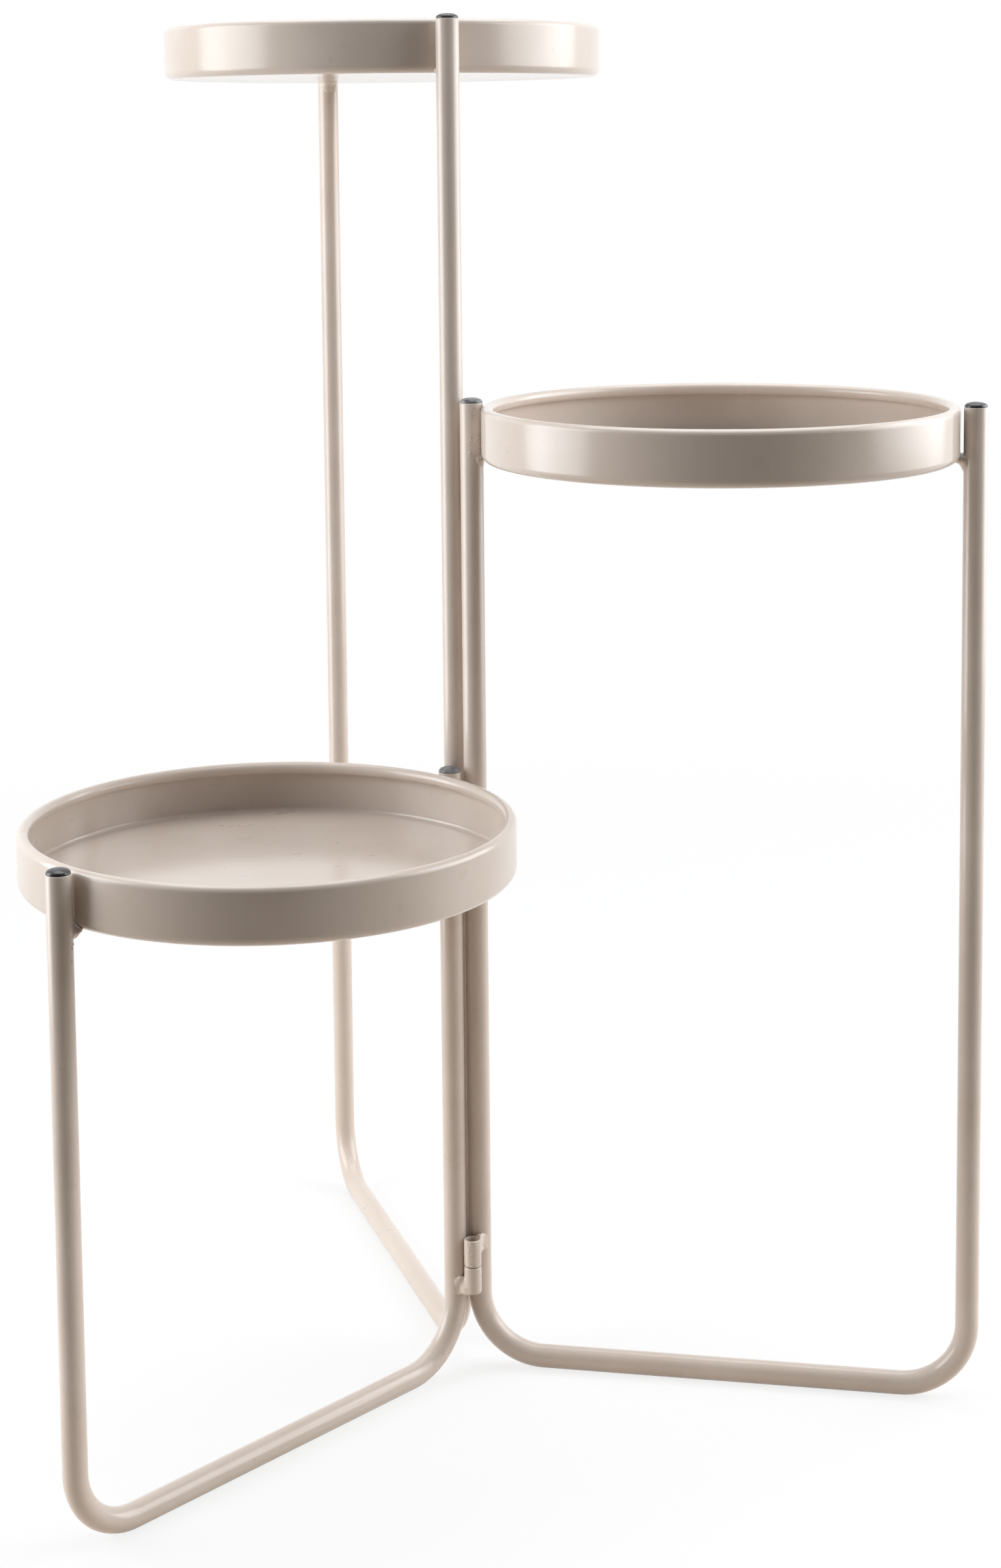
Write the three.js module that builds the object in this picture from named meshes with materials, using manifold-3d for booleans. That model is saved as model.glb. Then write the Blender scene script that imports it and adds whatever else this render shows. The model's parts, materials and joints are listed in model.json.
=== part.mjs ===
// Folding plant stand with three tiers: a low, a medium and a tall frame, each a U of round steel tube that
// stands on its own floor bar and holds a round sheet-metal tray between its two leg tops. The low and the
// tall frame are hinged to the inner leg of the medium frame, and fold flat against its front and its back.
// Millimetres, +Z up, floor at z = 0. The medium frame points along +X, seen as it stands open. The origin
// is on the floor, under the middle of the open stand.
import * as THREE from "three";
import { mergeVertices } from "three/addons/utils/BufferGeometryUtils.js";
import Module from "manifold-3d";

const wasm = await Module();
wasm.setup();

// ---- Driving dimensions ---------------------------------------------------------------------------

// Frames: the height is that of the cut tube ends above the floor.
const frameHeight = { low: 350, medium: 558, tall: 770 };
const tubeDiameter = 13;
const tubeWall = 1.2;
const bendRadius = 37; // of the tube's centre line

// Trays: a pressed dish whose edge is rolled inwards.
const trayDiameter = 261;
const trayHeight = 30;
const sheetThickness = 1.2;
const trayCornerRadius = 4.8; // outside, between floor and wall
const rimRollDiameter = 6.8;
const rimRollSweep = 290; // degrees that the edge turns, from the wall round to its tip
const rimAboveTube = 0.4;
const trayToLegGap = 1.3;

// Tube caps: a dome on a plug.
const capDomeHeight = 2.6;
const capDomeInset = 0.1; // of the dome's edge from the tube's outside
const capSeatGap = 0.2;
const capPlugLength = 9;
const capPlugClearance = 0.3;

// Hinges: weld-on barrels, two to each folding frame. The seam is where the two knuckles meet.
const openAngle = { low: 122, tall: 118 }; // from folded flat to open
const legGap = 2; // between the inner legs of two hinged frames when they are open
const barrelDiameter = 10;
const barrelBore = 7;
const barrelToLegGap = 0.4;
const barrelChamfer = 0.6;
const knuckleLength = 15.5;
const seamGap = 0.5;
const bottomSeamHeight = 63; // above the floor
const topSeamDrop = 50; // below the tube end of the shorter of the two hinged legs
const pinRunningGap = 0.3; // all round, where the pin turns in the upper knuckle
const pinGripGap = 0.1; // all round, where the lower knuckle holds it
const pinInset = 1; // from the lower knuckle's foot
const pinReach = 9; // above the seam

// Weld beads: blobs that fill the valley between two parts. A bead stops short of what it joins.
const weldGap = 0.3;
const trayBead = { radial: 4.4, sideways: 5, up: 4.2 }; // half sizes
const barrelBead = { across: 4.6, up: 6 }; // half sizes
const barrelBeadOffset = 2.2; // of its middle from both round faces
const barrelBeadFromSeam = 12;
const cutterReach = 2; // of what cuts a bead, in half sizes of the bead

// Flats used to draw the round shapes.
const tubeSides = 16;
const boreSides = 12;
const bendSteps = 8;
const traySides = 48;
const capSides = 16;
const capArcSteps = 4;
const barrelSides = 16;
const cornerSteps = 3;
const rimSteps = 7;
const beadSides = 12;
const beadRings = 8;

// ---- Dimensions that follow -----------------------------------------------------------------------

const tubeRadius = tubeDiameter / 2;
const barrelRadius = barrelDiameter / 2;
const trayRadius = trayDiameter / 2;
const legSpacing = trayDiameter + 2 * trayToLegGap + tubeDiameter;
const trayFloorAt = (height) => height + rimAboveTube - trayHeight;

// Where the hinge axis of a folding frame lies in a frame's own plan: along the frame from its inner leg,
// and out of its plane. It is the same for both hinged frames, mirrored, and follows from the gap between
// the two legs when they are open and from the barrel that lies against both.
function hingeAxis(angle) {
  const half = THREE.MathUtils.degToRad(angle) / 2;
  const halfSpread = (tubeDiameter + legGap) / 2;
  const legToAxis = tubeRadius + barrelRadius + barrelToLegGap;
  const planesMeet = halfSpread / Math.sin(half);
  const reach = halfSpread / Math.tan(half) + Math.sqrt(legToAxis ** 2 - halfSpread ** 2);
  return { along: reach * Math.cos(half) - planesMeet, out: reach * Math.sin(half) };
}

// ---- Round shapes ---------------------------------------------------------------------------------

// Corner radius of a polygon whose flats touch the true circle from outside.
const overFlats = (radius, sides) => radius / Math.cos(Math.PI / sides);

// Corners of such a polygon, turned so that a flat faces each axis.
function roundOutline(radius, sides) {
  const corner = overFlats(radius, sides);
  return Array.from({ length: sides }, (_, i) => {
    const angle = ((i + 0.5) * 2 * Math.PI) / sides;
    return new THREE.Vector2(corner * Math.cos(angle), corner * Math.sin(angle));
  });
}

// Points on an arc in a profile, angles in degrees from the outward direction.
function arc(centreX, centreY, radiusX, from, to, steps, radiusY = radiusX) {
  return Array.from({ length: steps + 1 }, (_, i) => {
    const angle = THREE.MathUtils.degToRad(from + ((to - from) * i) / steps);
    return new THREE.Vector2(centreX + radiusX * Math.cos(angle), centreY + radiusY * Math.sin(angle));
  });
}

// A profile of [radius, height] points turned about the Z axis.
function turned(profile, sides) {
  const points = profile.map((p) => new THREE.Vector2(overFlats(p.x, sides), p.y));
  return new THREE.LatheGeometry(points, sides).rotateX(Math.PI / 2);
}

const point = (radius, height) => new THREE.Vector2(radius, height);

// An upright cylinder between two heights, used to cut with.
function post(radius, sides, bottom, top) {
  const cylinder = new THREE.CylinderGeometry(radius, radius, top - bottom, sides);
  return cylinder.rotateX(Math.PI / 2).translate(0, 0, (bottom + top) / 2);
}

// ---- Joins and cuts -------------------------------------------------------------------------------

function toSolid(geometry) {
  const bare = geometry.clone();
  bare.deleteAttribute("normal");
  bare.deleteAttribute("uv");
  const merged = mergeVertices(bare);
  const vertProperties = new Float32Array(merged.attributes.position.array);
  const triVerts = new Uint32Array(merged.index.array);
  return new wasm.Manifold(new wasm.Mesh({ numProp: 3, vertProperties, triVerts }));
}

function toGeometry(solid) {
  const mesh = solid.getMesh();
  const geometry = new THREE.BufferGeometry();
  geometry.setAttribute("position", new THREE.BufferAttribute(mesh.vertProperties, 3));
  geometry.setIndex(new THREE.BufferAttribute(mesh.triVerts, 1));
  const flat = geometry.toNonIndexed();
  flat.computeVertexNormals();
  return flat;
}

const cutBy = (geometry, cutters) =>
  toGeometry(cutters.reduce((rest, cutter) => rest.subtract(toSolid(cutter)), toSolid(geometry)));

// ---- Finishes -------------------------------------------------------------------------------------

const powderCoat = () => new THREE.MeshStandardMaterial({ color: 0xcdc2b7, roughness: 0.3, metalness: 0 });
const darkPlastic = () => new THREE.MeshStandardMaterial({ color: 0x3a3a3d, roughness: 0.25, metalness: 0 });
const bareSteel = () => new THREE.MeshStandardMaterial({ color: 0x8d8a86, roughness: 0.4, metalness: 1 });

function part(name, geometry, material) {
  const mesh = new THREE.Mesh(geometry, material);
  mesh.name = name;
  return mesh;
}

function put(group, mesh, x, y, z, turn = 0) {
  mesh.position.set(x, y, z);
  mesh.rotation.z = turn;
  group.add(mesh);
}

// ---- A frame: tube, tray, caps and the beads that hold the tray -----------------------------------

// The tube's centre line: down the inner leg, along the floor bar and up the outer leg. Its steps fall only
// on the ends of the straight stretches and in the bends.
class FrameCentreLine extends THREE.Curve {
  constructor(height) {
    super();
    this.stations = [
      { point: new THREE.Vector3(0, 0, height), tangent: new THREE.Vector3(0, 0, -1) },
      ...FrameCentreLine.bend(bendRadius, 180, 270),
      ...FrameCentreLine.bend(legSpacing - bendRadius, 270, 360),
      { point: new THREE.Vector3(legSpacing, 0, height), tangent: new THREE.Vector3(0, 0, 1) },
    ];
  }

  // A quarter turn about the point that lies centreX along the bar and a bend radius above it.
  static bend(centreX, from, to) {
    return Array.from({ length: bendSteps + 1 }, (_, i) => {
      const angle = THREE.MathUtils.degToRad(from + ((to - from) * i) / bendSteps);
      const x = centreX + bendRadius * Math.cos(angle);
      const z = tubeRadius + bendRadius + bendRadius * Math.sin(angle);
      return {
        point: new THREE.Vector3(x, 0, z),
        tangent: new THREE.Vector3(-Math.sin(angle), 0, Math.cos(angle)),
      };
    });
  }

  get steps() {
    return this.stations.length - 1;
  }

  getPointAt(u, target = new THREE.Vector3()) {
    return target.copy(this.stations[Math.round(u * this.steps)].point);
  }

  getTangentAt(u, target = new THREE.Vector3()) {
    return target.copy(this.stations[Math.round(u * this.steps)].tangent);
  }
}

function frameTube(height) {
  const section = new THREE.Shape(roundOutline(tubeRadius, tubeSides));
  section.holes.push(new THREE.Path(roundOutline(tubeRadius - tubeWall, boreSides)));
  const centreLine = new FrameCentreLine(height);
  return new THREE.ExtrudeGeometry(section, { steps: centreLine.steps, extrudePath: centreLine });
}

// The dish, standing on z = 0: floor, rounded corner, wall and an edge rolled inwards to a hollow bead.
function tray() {
  const rollRadius = rimRollDiameter / 2;
  const rollX = trayRadius - rollRadius;
  const rollY = trayHeight - rollRadius;
  const cornerX = trayRadius - trayCornerRadius;
  const innerCorner = trayCornerRadius - sheetThickness;
  return turned(
    [
      point(0, 0),
      ...arc(cornerX, trayCornerRadius, trayCornerRadius, -90, 0, cornerSteps),
      ...arc(rollX, rollY, rollRadius, 0, rimRollSweep, rimSteps),
      ...arc(rollX, rollY, rollRadius - sheetThickness, rimRollSweep, 0, rimSteps),
      ...arc(cornerX, trayCornerRadius, innerCorner, 0, -90, cornerSteps),
      point(0, sheetThickness),
    ],
    traySides,
  );
}

// The dish's outside, larger by the weld gap, as a ring to cut the beads with.
function trayClearance() {
  const ringWidth = trayCornerRadius + cutterReach * trayBead.radial;
  const cornerX = trayRadius - trayCornerRadius;
  const grown = trayCornerRadius + weldGap;
  return turned(
    [
      point(trayRadius - ringWidth, -weldGap),
      ...arc(cornerX, trayCornerRadius, grown, -90, 0, 2 * cornerSteps),
      point(trayRadius + weldGap, trayHeight),
      point(trayRadius - ringWidth, trayHeight),
      point(trayRadius - ringWidth, -weldGap),
    ],
    traySides,
  );
}

// The bead between a leg and the corner of its tray, in the frame's plan: the leg stands at x = 0 and the
// tray lies towards +X, with its underside at z = 0.
function trayWeld() {
  const { radial, sideways, up } = trayBead;
  const blob = new THREE.SphereGeometry(1, beadSides, beadRings).rotateX(Math.PI / 2);
  blob.scale(radial, sideways, up).translate(tubeRadius + trayToLegGap / 2, 0, 0);
  const legClearance = overFlats(tubeRadius, tubeSides) + weldGap;
  return cutBy(blob, [
    post(legClearance, tubeSides, -cutterReach * up, cutterReach * up),
    trayClearance().translate(legSpacing / 2, 0, 0),
  ]);
}

// A cap on a tube end at z = 0: its plug is below and its dome above.
function tubeCap() {
  const plugRadius = tubeRadius - tubeWall - capPlugClearance;
  const domeRadius = tubeRadius - capDomeInset;
  const dome = arc(0, capSeatGap, domeRadius, 0, 90, capArcSteps, capDomeHeight);
  dome[capArcSteps].x = 0; // the top lies exactly on the axis
  return turned(
    [point(0, -capPlugLength), point(plugRadius, -capPlugLength), point(plugRadius, capSeatGap), ...dome],
    capSides,
  );
}

// A whole frame in its own plan: inner leg at the origin, outer leg along +X.
function frame(name) {
  const height = frameHeight[name];
  const underTray = trayFloorAt(height);
  const group = new THREE.Group();
  put(group, part(`${name}_frame_tube`, frameTube(height), powderCoat()), 0, 0, 0);
  put(group, part(`${name}_tray`, tray(), powderCoat()), legSpacing / 2, 0, underTray);
  put(group, part(`${name}_inner_tray_weld`, trayWeld(), powderCoat()), 0, 0, underTray);
  put(group, part(`${name}_outer_tray_weld`, trayWeld(), powderCoat()), legSpacing, 0, underTray, Math.PI);
  put(group, part(`${name}_inner_cap`, tubeCap(), darkPlastic()), 0, 0, height);
  put(group, part(`${name}_outer_cap`, tubeCap(), darkPlastic()), legSpacing, 0, height);
  return group;
}

// ---- Hinges ---------------------------------------------------------------------------------------

// A length of thick-walled barrel from z = 0 up, with its outer edges broken.
function knuckle() {
  const bore = barrelBore / 2;
  return turned(
    [
      point(bore, 0),
      point(barrelRadius - barrelChamfer, 0),
      point(barrelRadius, barrelChamfer),
      point(barrelRadius, knuckleLength - barrelChamfer),
      point(barrelRadius - barrelChamfer, knuckleLength),
      point(bore, knuckleLength),
      point(bore, 0),
    ],
    barrelSides,
  );
}

// The pin, with the seam at z = 0: gripped below, turning above, chamfered at its tip.
function hingePin() {
  const grip = barrelBore / 2 - pinGripGap;
  const shaft = barrelBore / 2 - pinRunningGap;
  const foot = pinInset - knuckleLength - seamGap / 2;
  return turned(
    [
      point(0, foot),
      point(grip, foot),
      point(grip, -seamGap),
      point(shaft, -seamGap),
      point(shaft, pinReach - barrelChamfer),
      point(shaft - barrelChamfer, pinReach),
      point(0, pinReach),
    ],
    barrelSides,
  );
}

// The bead between a barrel and the leg that carries it, on the side that the frame points to. The leg
// stands at the origin, the barrel at (along, out), and the bead's middle lies at z = 0.
function barrelWeld(along, out) {
  const { across, up } = barrelBead;
  const toLeg = tubeRadius + barrelBeadOffset;
  const toBarrel = barrelRadius + barrelBeadOffset;
  const apart = Math.hypot(along, out);
  const swing = Math.acos((toLeg ** 2 + apart ** 2 - toBarrel ** 2) / (2 * toLeg * apart));
  const bearing = Math.atan2(out, along) - Math.sign(out) * swing;
  const blob = new THREE.SphereGeometry(1, beadSides, beadRings).rotateX(Math.PI / 2);
  blob.scale(across, across, up).translate(toLeg * Math.cos(bearing), toLeg * Math.sin(bearing), 0);
  const legClearance = overFlats(tubeRadius, tubeSides) + weldGap;
  const barrelClearance = overFlats(barrelRadius, barrelSides) + weldGap;
  return cutBy(blob, [
    post(legClearance, tubeSides, -cutterReach * up, cutterReach * up),
    post(barrelClearance, barrelSides, -cutterReach * up, cutterReach * up).translate(along, out, 0),
  ]);
}

// Adds the two hinges of one folding frame. The upper knuckles are welded to the medium frame, and the lower
// ones, which hold the pins, to the folding frame. side is +1 where the frame folds behind the medium one.
function addHinges(name, side, mediumFrame, foldingFrame) {
  const { along, out } = hingeAxis(openAngle[name]);
  const shorter = Math.min(frameHeight[name], frameHeight.medium);
  const seams = { bottom: bottomSeamHeight, top: shorter - topSeamDrop };
  for (const [place, seam] of Object.entries(seams)) {
    const hinge = `${name}_${place}_hinge`;
    const lowerFoot = seam - seamGap / 2 - knuckleLength;
    const upperOut = side * out;
    const lowerOut = -side * out;
    const upper = part(`${hinge}_upper_knuckle`, knuckle(), powderCoat());
    const lower = part(`${hinge}_lower_knuckle`, knuckle(), powderCoat());
    const pin = part(`${hinge}_pin`, hingePin(), bareSteel());
    const upperWeld = part(`${hinge}_upper_weld`, barrelWeld(along, upperOut), powderCoat());
    const lowerWeld = part(`${hinge}_lower_weld`, barrelWeld(along, lowerOut), powderCoat());
    put(mediumFrame, upper, along, upperOut, seam + seamGap / 2);
    put(mediumFrame, upperWeld, 0, 0, seam + barrelBeadFromSeam);
    put(foldingFrame, lower, along, lowerOut, lowerFoot);
    put(foldingFrame, pin, along, lowerOut, seam);
    put(foldingFrame, lowerWeld, 0, 0, seam - barrelBeadFromSeam);
  }
}

// ---- The stand ------------------------------------------------------------------------------------

// A group that turns about the hinge axis: at 0 its frame lies parallel to the medium one.
function folding(name, side, foldingFrame) {
  const { along, out } = hingeAxis(openAngle[name]);
  const pivot = new THREE.Group();
  pivot.position.set(along, side * out, 0);
  pivot.rotation.z = side * THREE.MathUtils.degToRad(openAngle[name]);
  foldingFrame.position.set(-along, side * out, 0);
  return pivot.add(foldingFrame);
}

const front = -1;
const back = 1;
const mediumFrame = frame("medium");
const lowFrame = frame("low");
const tallFrame = frame("tall");
addHinges("low", front, mediumFrame, lowFrame);
addHinges("tall", back, mediumFrame, tallFrame);

const stand = new THREE.Group();
stand.add(mediumFrame, folding("low", front, lowFrame), folding("tall", back, tallFrame));
stand.updateMatrixWorld(true);
const middle = new THREE.Box3().setFromObject(stand, true).getCenter(new THREE.Vector3());
stand.position.set(-middle.x, -middle.y, 0);

export default stand;
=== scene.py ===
# %% [markdown]
# # A folding plant stand with three trays
# Three U-shaped frames of bent steel tube stand on their own floor bars. Each one holds a round
# pressed tray between its leg tops. The low and the tall frame swing on barrel hinges at the inner
# leg of the medium frame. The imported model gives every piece's place, so this lesson only makes
# the looks: smooth shapes, weld metal, a powder coat, light and a camera. All sizes are in metres,
# and sizes written in millimetres are times MM.

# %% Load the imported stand
import json
import math

import bmesh
import bpy
from mathutils import Matrix, Vector


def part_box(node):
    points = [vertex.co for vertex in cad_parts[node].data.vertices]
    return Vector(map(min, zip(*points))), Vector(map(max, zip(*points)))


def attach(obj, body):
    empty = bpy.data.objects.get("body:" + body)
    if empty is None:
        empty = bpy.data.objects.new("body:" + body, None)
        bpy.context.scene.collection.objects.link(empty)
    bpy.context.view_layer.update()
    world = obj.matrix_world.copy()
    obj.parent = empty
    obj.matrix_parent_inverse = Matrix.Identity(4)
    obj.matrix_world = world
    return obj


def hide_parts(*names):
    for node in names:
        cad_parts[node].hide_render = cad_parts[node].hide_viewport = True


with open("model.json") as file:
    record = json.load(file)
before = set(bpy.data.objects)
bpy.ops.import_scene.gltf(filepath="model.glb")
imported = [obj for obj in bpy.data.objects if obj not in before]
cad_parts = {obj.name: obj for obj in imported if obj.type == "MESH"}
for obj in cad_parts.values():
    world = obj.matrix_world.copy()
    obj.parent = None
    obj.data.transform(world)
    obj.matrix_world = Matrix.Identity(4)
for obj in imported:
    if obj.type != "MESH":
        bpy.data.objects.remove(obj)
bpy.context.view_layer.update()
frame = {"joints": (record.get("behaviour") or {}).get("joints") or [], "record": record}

MM = 0.001
bodies = frame["record"]["behaviour"]["bodies"]
body_of_node = {node: body for body, nodes in bodies.items() for node in nodes}

# %% [markdown]
# ## Where things are
# A cap sits on each tube end, so the middle of its box is the axis of its leg. A tray's box gives
# its centre and its underside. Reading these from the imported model, instead of writing them again,
# keeps the looks on the construction even when a size changes.

# %% Read the places
FRAMES = ("low", "medium", "tall")
SIDES = ("inner", "outer")


def middle(node):
    low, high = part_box(node)
    return (low + high) / 2


def on_floor(point):
    """The foot of an upright axis through a point."""
    return Vector((point[0], point[1], 0))


def leg_axis(name, side):
    return on_floor(middle(f"{name}_{side}_cap"))


leg_height = {name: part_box(f"{name}_frame_tube")[1].z for name in FRAMES}
tray_foot = {name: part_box(f"{name}_tray")[0].z for name in FRAMES}
tray_axis = {name: on_floor(middle(f"{name}_tray")) for name in FRAMES}
hinge_axis = {joint["name"].split("_")[0]: on_floor(joint["pos_m"]) for joint in frame["joints"]}
leg_spacing = (leg_axis("medium", "outer") - leg_axis("medium", "inner")).length
print("legs", round(leg_spacing, 4), "apart")
print("heights", {name: round(height, 3) for name, height in leg_height.items()})

# %% [markdown]
# ## The sizes of the stand
# These are the real sizes of the tube, the sheet and the hinges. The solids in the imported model
# are many-sided and touch the true round shape from outside, so a smooth piece with the true size
# lies just inside them.

# %% Sizes
TUBE_RADIUS = 6.5 * MM
TUBE_WALL = 1.2 * MM
BEND_RADIUS = 37 * MM
TRAY_RADIUS = 130.5 * MM
TRAY_HEIGHT = 30 * MM
SHEET = 1.2 * MM
TRAY_CORNER = 4.8 * MM
INNER_CORNER = 2.6 * MM
ROLL_RADIUS = 3.4 * MM
ROLL_SWEEP = 290
BARREL_RADIUS = 5 * MM
BARREL_BORE = 3.5 * MM
KNUCKLE_LENGTH = 15.5 * MM
print("a tray is", round(TRAY_RADIUS / TUBE_RADIUS, 1), "times as wide as the tube")

# %% [markdown]
# ## Helpers for node trees
# Geometry and shader trees are both made of nodes whose inputs are either a fixed value or a link.
# One small function adds a node and fills its inputs, and two others do sums with numbers and with
# vectors. Noise gives an uneven value, and a ramp goes from one level to another. With these, a
# tree reads almost like a formula.

# %% Node helpers


def fill(tree, socket, value):
    if isinstance(value, bpy.types.NodeSocket):
        tree.links.new(value, socket)
    else:
        socket.default_value = value


def add(tree, kind, inputs=None, **settings):
    made = tree.nodes.new(kind)
    for key, value in settings.items():
        setattr(made, key, value)
    for key, value in (inputs or {}).items():
        fill(tree, made.inputs[key], value)
    return made


def calc(tree, operation, *terms):
    made = tree.nodes.new("ShaderNodeMath")
    made.operation = operation
    for socket, term in zip(made.inputs, terms):
        fill(tree, socket, term)
    return made.outputs[0]


def vector_calc(tree, operation, *terms):
    made = tree.nodes.new("ShaderNodeVectorMath")
    made.operation = operation
    for socket, term in zip(made.inputs, terms):
        fill(tree, socket, term)
    return made.outputs["Value" if operation in ("LENGTH", "DOT_PRODUCT") else "Vector"]


def noise(tree, place, scale, detail):
    inputs = {"Vector": place, "Scale": scale, "Detail": detail}
    return add(tree, "ShaderNodeTexNoise", inputs).outputs[0]


def ramp(tree, value, start, end, low=0.0, high=1.0, curve="LINEAR"):
    """Goes from low to high while the value goes from start to end, and is level outside."""
    inputs = {"Value": value, 1: start, 2: end, 3: low, 4: high}
    return add(tree, "ShaderNodeMapRange", inputs, interpolation_type=curve).outputs[0]


def new_tree(name, kind, inputs, outputs):
    """A node group with named sockets, given as {name: socket type}."""
    tree = bpy.data.node_groups.new(name, kind)
    for way, sockets in (("INPUT", inputs), ("OUTPUT", outputs)):
        for socket_name, socket_type in sockets.items():
            tree.interface.new_socket(socket_name, in_out=way, socket_type=socket_type)
    given = tree.nodes.new("NodeGroupInput").outputs
    return tree, given, tree.nodes.new("NodeGroupOutput").inputs


INTEGER = "NodeSocketInt"
FLOAT = "NodeSocketFloat"
VECTOR = "NodeSocketVector"
GEOMETRY = "NodeSocketGeometry"
MATERIAL = "NodeSocketMaterial"
print("helpers for trees are ready")

# %% [markdown]
# ## Surface effects that several finishes share
# Powder coat is sprayed on as dust and melted in an oven. It never lies quite flat: its skin has
# low hills about a millimetre apart, which makers call orange peel. Over weld metal a pin hole
# stays in it here and there, and over some centimetres it is a little thicker or thinner. These
# three effects are shader groups, because several materials use them, each at its own strength.
# Everything is read from Object coordinates, so it stays on the part.

# %% Orange peel


def orange_peel_group():
    tree, given, result = new_tree(
        "orange_peel",
        "ShaderNodeTree",
        {"Ripple Scale": FLOAT, "Swell Scale": FLOAT, "Swell Share": FLOAT},
        {"Height": FLOAT},
    )
    place = add(tree, "ShaderNodeTexCoord").outputs["Object"]
    ripple = noise(tree, place, given["Ripple Scale"], detail=1.5)
    swell = noise(tree, place, given["Swell Scale"], detail=0.5)
    swelling = calc(tree, "MULTIPLY", swell, given["Swell Share"])
    tree.links.new(calc(tree, "ADD", ripple, swelling), result["Height"])
    return tree


orange_peel = orange_peel_group()
print("shader group", orange_peel.name)

# %% Pin holes
SMALLEST_SPOT = 0.4


def speck_group():
    """Few small spots: a cell pattern whose cells hold a spot only where a random shade is low."""
    tree, given, result = new_tree(
        "specks",
        "ShaderNodeTree",
        {"Cell Scale": FLOAT, "Spot Size": FLOAT, "Share": FLOAT},
        {"Mask": FLOAT},
    )
    place = add(tree, "ShaderNodeTexCoord").outputs["Object"]
    cells = add(tree, "ShaderNodeTexVoronoi", {"Vector": place, "Scale": given["Cell Scale"]})
    shade = add(tree, "ShaderNodeSeparateColor", {0: cells.outputs["Color"]}).outputs[0]
    growth = calc(tree, "ADD", shade, SMALLEST_SPOT)
    spot_size = calc(tree, "MULTIPLY", given["Spot Size"], growth)
    spot = calc(tree, "LESS_THAN", cells.outputs["Distance"], spot_size)
    chosen = calc(tree, "LESS_THAN", shade, given["Share"])
    tree.links.new(calc(tree, "MULTIPLY", spot, chosen), result["Mask"])
    return tree


specks = speck_group()
print("shader group", specks.name)

# %% Cloudy differences
NOISE_RANGE = (0.3, 0.7)  # nearly all of the noise lies between these


def cloud_group():
    """Slow differences, such as a coat that is a little thicker here than there."""
    tree, given, result = new_tree(
        "clouds",
        "ShaderNodeTree",
        {"Scale": FLOAT, "Low": FLOAT, "High": FLOAT},
        {"Value": FLOAT},
    )
    place = add(tree, "ShaderNodeTexCoord").outputs["Object"]
    cloud = noise(tree, place, given["Scale"], detail=3.0)
    ranged = ramp(tree, cloud, *NOISE_RANGE, given["Low"], given["High"])
    tree.links.new(ranged, result["Value"])
    return tree


clouds = cloud_group()
print("shader group", clouds.name)

# %% [markdown]
# ## The powder coat
# A warm, pale grey-beige with a satin gloss. The gloss is two thin layers that both mirror weakly:
# the paint, and a smoother skin on it. Where a wall turns away from the eye they mirror the white
# room, and where it faces the eye they mirror the dim side and it looks darker. Over weld metal
# the coat is rougher and holds pin holes. A worn coat is also lumpy wherever the piece's own wear
# attribute says so.

# %% Powder coat
COAT_LIGHT = (0.68, 0.59, 0.52, 1)
COAT_DEEP = (0.635, 0.54, 0.465, 1)
PIT_BROWN = (0.30, 0.22, 0.17, 1)
LAYER_IOR = 1.34
SKIN_ROUGHNESS = 0.13
COAT_PEEL = {"Ripple Scale": 620.0, "Swell Scale": 170.0, "Swell Share": 0.8}
COAT_PITS = {"Cell Scale": 520.0, "Spot Size": 0.085}
WEAR_LUMPS = {"Scale": 620.0, "Low": 0.0, "High": 3.5}


def group_value(tree, group, values):
    """Puts a shader group in a tree and returns its result."""
    return add(tree, "ShaderNodeGroup", values, node_tree=group).outputs[0]


def new_material(name):
    material = bpy.data.materials.new(name)
    material.use_nodes = True
    return material, material.node_tree, material.node_tree.nodes["Principled BSDF"]


def mix_colour(tree, share, first, second):
    made = add(tree, "ShaderNodeMix", data_type="RGBA")
    for number, value in ((0, share), (6, first), (7, second)):
        fill(tree, made.inputs[number], value)
    return made.outputs[2]


def dress(tree, skin, colour, roughness, height, depth):
    """Links a material's colour, roughness and relief. The depth is the relief's real height."""
    bump = add(tree, "ShaderNodeBump", {"Height": height, "Distance": depth, "Strength": 1.0})
    tree.links.new(colour, skin.inputs["Base Color"])
    tree.links.new(roughness, skin.inputs["Roughness"])
    tree.links.new(bump.outputs[0], skin.inputs["Normal"])


def coat_material(name, depth, smoothest, roughest, pit_share=0.0, worn=False):
    material, tree, skin = new_material(name)
    cloud = group_value(tree, clouds, {"Scale": 22.0, "Low": 0.0, "High": 1.0})
    colour = mix_colour(tree, cloud, COAT_LIGHT, COAT_DEEP)
    roughness = group_value(tree, clouds, {"Scale": 60.0, "Low": smoothest, "High": roughest})
    height = group_value(tree, orange_peel, COAT_PEEL)
    if pit_share:
        pits = group_value(tree, specks, {**COAT_PITS, "Share": pit_share})
        colour = mix_colour(tree, pits, colour, PIT_BROWN)
        height = calc(tree, "SUBTRACT", height, pits)
    if worn:
        wear = add(tree, "ShaderNodeAttribute", attribute_name="wear").outputs["Fac"]
        lumps = group_value(tree, clouds, WEAR_LUMPS)
        height = calc(tree, "ADD", height, calc(tree, "MULTIPLY", wear, lumps))
    dress(tree, skin, colour, roughness, height, depth)
    skin.inputs["IOR"].default_value = LAYER_IOR
    skin.inputs["Coat Weight"].default_value = 1.0
    skin.inputs["Coat IOR"].default_value = LAYER_IOR
    skin.inputs["Coat Roughness"].default_value = SKIN_ROUGHNESS
    return material


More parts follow.
